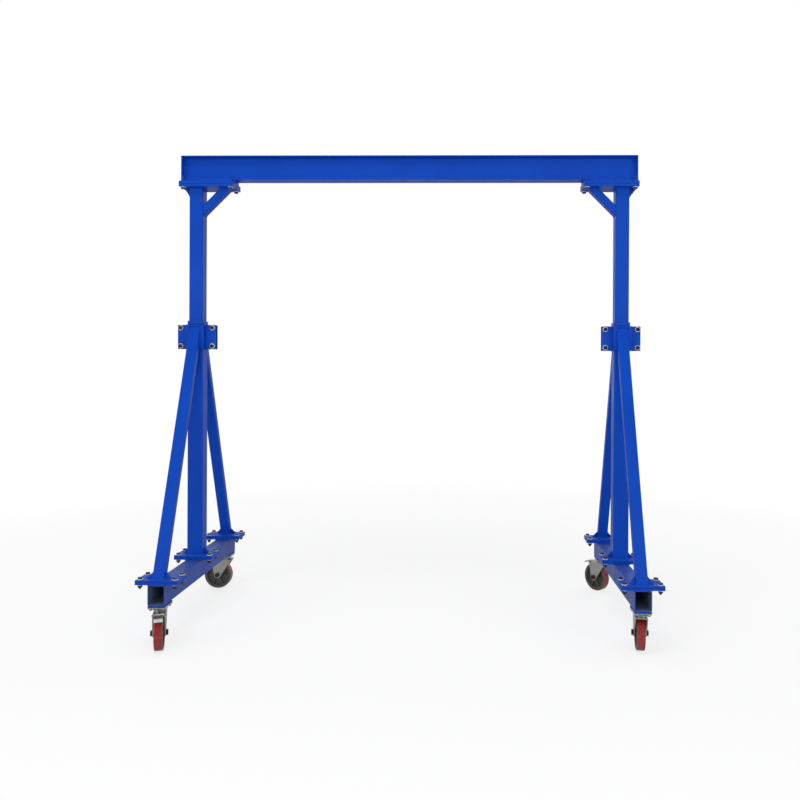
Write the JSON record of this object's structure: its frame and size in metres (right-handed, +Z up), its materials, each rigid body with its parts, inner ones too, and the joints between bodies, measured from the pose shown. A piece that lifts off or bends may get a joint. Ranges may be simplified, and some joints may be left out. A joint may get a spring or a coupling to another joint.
{
  "type": "gantry crane",
  "caption": "Blue portable gantry crane: an I-beam on two telescopic A-frame legs with swivel braked casters",
  "frame": {"origin": "on the floor under the middle of the beam", "axes": "+X along the beam to the right, -Y to the front, +Z up"},
  "size_m": [3.0799, 1.4926, 3.035],
  "materials": {
    "blue_paint": "royal blue enamel on steel",
    "zinc": "zinc plated pressed steel",
    "dark_steel": "dark oiled steel",
    "cast_iron": "grey cast iron",
    "red_polyurethane": "red polyurethane"
  },
  "bodies": {
    "left_frame": {"left_base_beam": "blue_paint", "left_base_pads": "blue_paint", "left_foot_plates": "blue_paint", "left_lower_post": "blue_paint", "left_post_band": "blue_paint", "left_clamp_plates": "blue_paint", "left_front_brace": "blue_paint", "left_rear_brace": "blue_paint", "left_caster_mounts": "zinc"},
    "head": {"main_beam": "blue_paint", "left_beam_pad": "blue_paint", "left_head_plate": "blue_paint", "left_upper_post": "blue_paint", "left_knee_brace": "blue_paint", "left_head_gusset": "blue_paint", "right_beam_pad": "blue_paint", "right_head_plate": "blue_paint", "right_upper_post": "blue_paint", "right_knee_brace": "blue_paint", "right_head_gusset": "blue_paint"},
    "right_frame": {"right_base_beam": "blue_paint", "right_base_pads": "blue_paint", "right_foot_plates": "blue_paint", "right_lower_post": "blue_paint", "right_post_band": "blue_paint", "right_clamp_plates": "blue_paint", "right_front_brace": "blue_paint", "right_rear_brace": "blue_paint", "right_caster_mounts": "zinc"},
    "left_front_fork_body": {"left_front_fork": "zinc", "left_front_axle": "dark_steel"},
    "left_front_wheel": {"left_front_wheel_core": "cast_iron", "left_front_tyre": "red_polyurethane"},
    "left_front_brake": {"left_front_brake_pedal": "zinc"},
    "left_rear_fork_body": {"left_rear_fork": "zinc", "left_rear_axle": "dark_steel"},
    "left_rear_wheel": {"left_rear_wheel_core": "cast_iron", "left_rear_tyre": "red_polyurethane"},
    "left_rear_brake": {"left_rear_brake_pedal": "zinc"},
    "right_front_fork_body": {"right_front_fork": "zinc", "right_front_axle": "dark_steel"},
    "right_front_wheel": {"right_front_wheel_core": "cast_iron", "right_front_tyre": "red_polyurethane"},
    "right_front_brake": {"right_front_brake_pedal": "zinc"},
    "right_rear_fork_body": {"right_rear_fork": "zinc", "right_rear_axle": "dark_steel"},
    "right_rear_wheel": {"right_rear_wheel_core": "cast_iron", "right_rear_tyre": "red_polyurethane"},
    "right_rear_brake": {"right_rear_brake_pedal": "zinc"}
  },
  "joints": [
    {"name": "height_slide", "type": "slide", "parent": "left_frame", "child": "head", "axis": [0, 0, 1], "range_m": [-0.66, 0.2]},
    {"name": "right_height_slide", "type": "slide", "parent": "head", "child": "right_frame", "axis": [0, 0, -1], "range_m": [-0.66, 0.2]},
    {"name": "left_front_swivel", "type": "hinge", "parent": "left_frame", "child": "left_front_fork_body", "pos_m": [-1.4, -0.6, 0.225], "axis": [0, 0, 1], "continuous": true},
    {"name": "left_front_roll", "type": "hinge", "parent": "left_front_fork_body", "child": "left_front_wheel", "pos_m": [-1.38393, -0.64946, 0.1], "axis": [0.9511, 0.309, 0], "continuous": true},
    {"name": "left_front_brake_hinge", "type": "hinge", "parent": "left_front_fork_body", "child": "left_front_brake", "pos_m": [-1.37404, -0.67989, 0.21], "axis": [0.9511, 0.309, 0], "range_deg": [0, 9]},
    {"name": "left_rear_swivel", "type": "hinge", "parent": "left_frame", "child": "left_rear_fork_body", "pos_m": [-1.4, 0.6, 0.225], "axis": [0, 0, 1], "continuous": true},
    {"name": "left_rear_roll", "type": "hinge", "parent": "left_rear_fork_body", "child": "left_rear_wheel", "pos_m": [-1.452, 0.6, 0.1], "axis": [0, -1, 0], "continuous": true},
    {"name": "left_rear_brake_hinge", "type": "hinge", "parent": "left_rear_fork_body", "child": "left_rear_brake", "pos_m": [-1.484, 0.6, 0.21], "axis": [0, -1, 0], "range_deg": [0, 9]},
    {"name": "right_front_swivel", "type": "hinge", "parent": "right_frame", "child": "right_front_fork_body", "pos_m": [1.4, -0.6, 0.225], "axis": [0, 0, 1], "continuous": true},
    {"name": "right_front_roll", "type": "hinge", "parent": "right_front_fork_body", "child": "right_front_wheel", "pos_m": [1.40724, -0.54851, 0.1], "axis": [-0.9903, 0.1392, 0], "continuous": true},
    {"name": "right_front_brake_hinge", "type": "hinge", "parent": "right_front_fork_body", "child": "right_front_brake", "pos_m": [1.41169, -0.51682, 0.21], "axis": [-0.9903, 0.1392, 0], "range_deg": [0, 9]},
    {"name": "right_rear_swivel", "type": "hinge", "parent": "right_frame", "child": "right_rear_fork_body", "pos_m": [1.4, 0.6, 0.225], "axis": [0, 0, 1], "continuous": true},
    {"name": "right_rear_roll", "type": "hinge", "parent": "right_rear_fork_body", "child": "right_rear_wheel", "pos_m": [1.36799, 0.64098, 0.1], "axis": [-0.788, -0.6157, 0], "continuous": true},
    {"name": "right_rear_brake_hinge", "type": "hinge", "parent": "right_rear_fork_body", "child": "right_rear_brake", "pos_m": [1.34828, 0.66619, 0.21], "axis": [-0.788, -0.6157, 0], "range_deg": [0, 9]}
  ],
  "couplings": [
    {"joint": "right_height_slide", "follows": "height_slide", "ratio": 1}
  ]
}
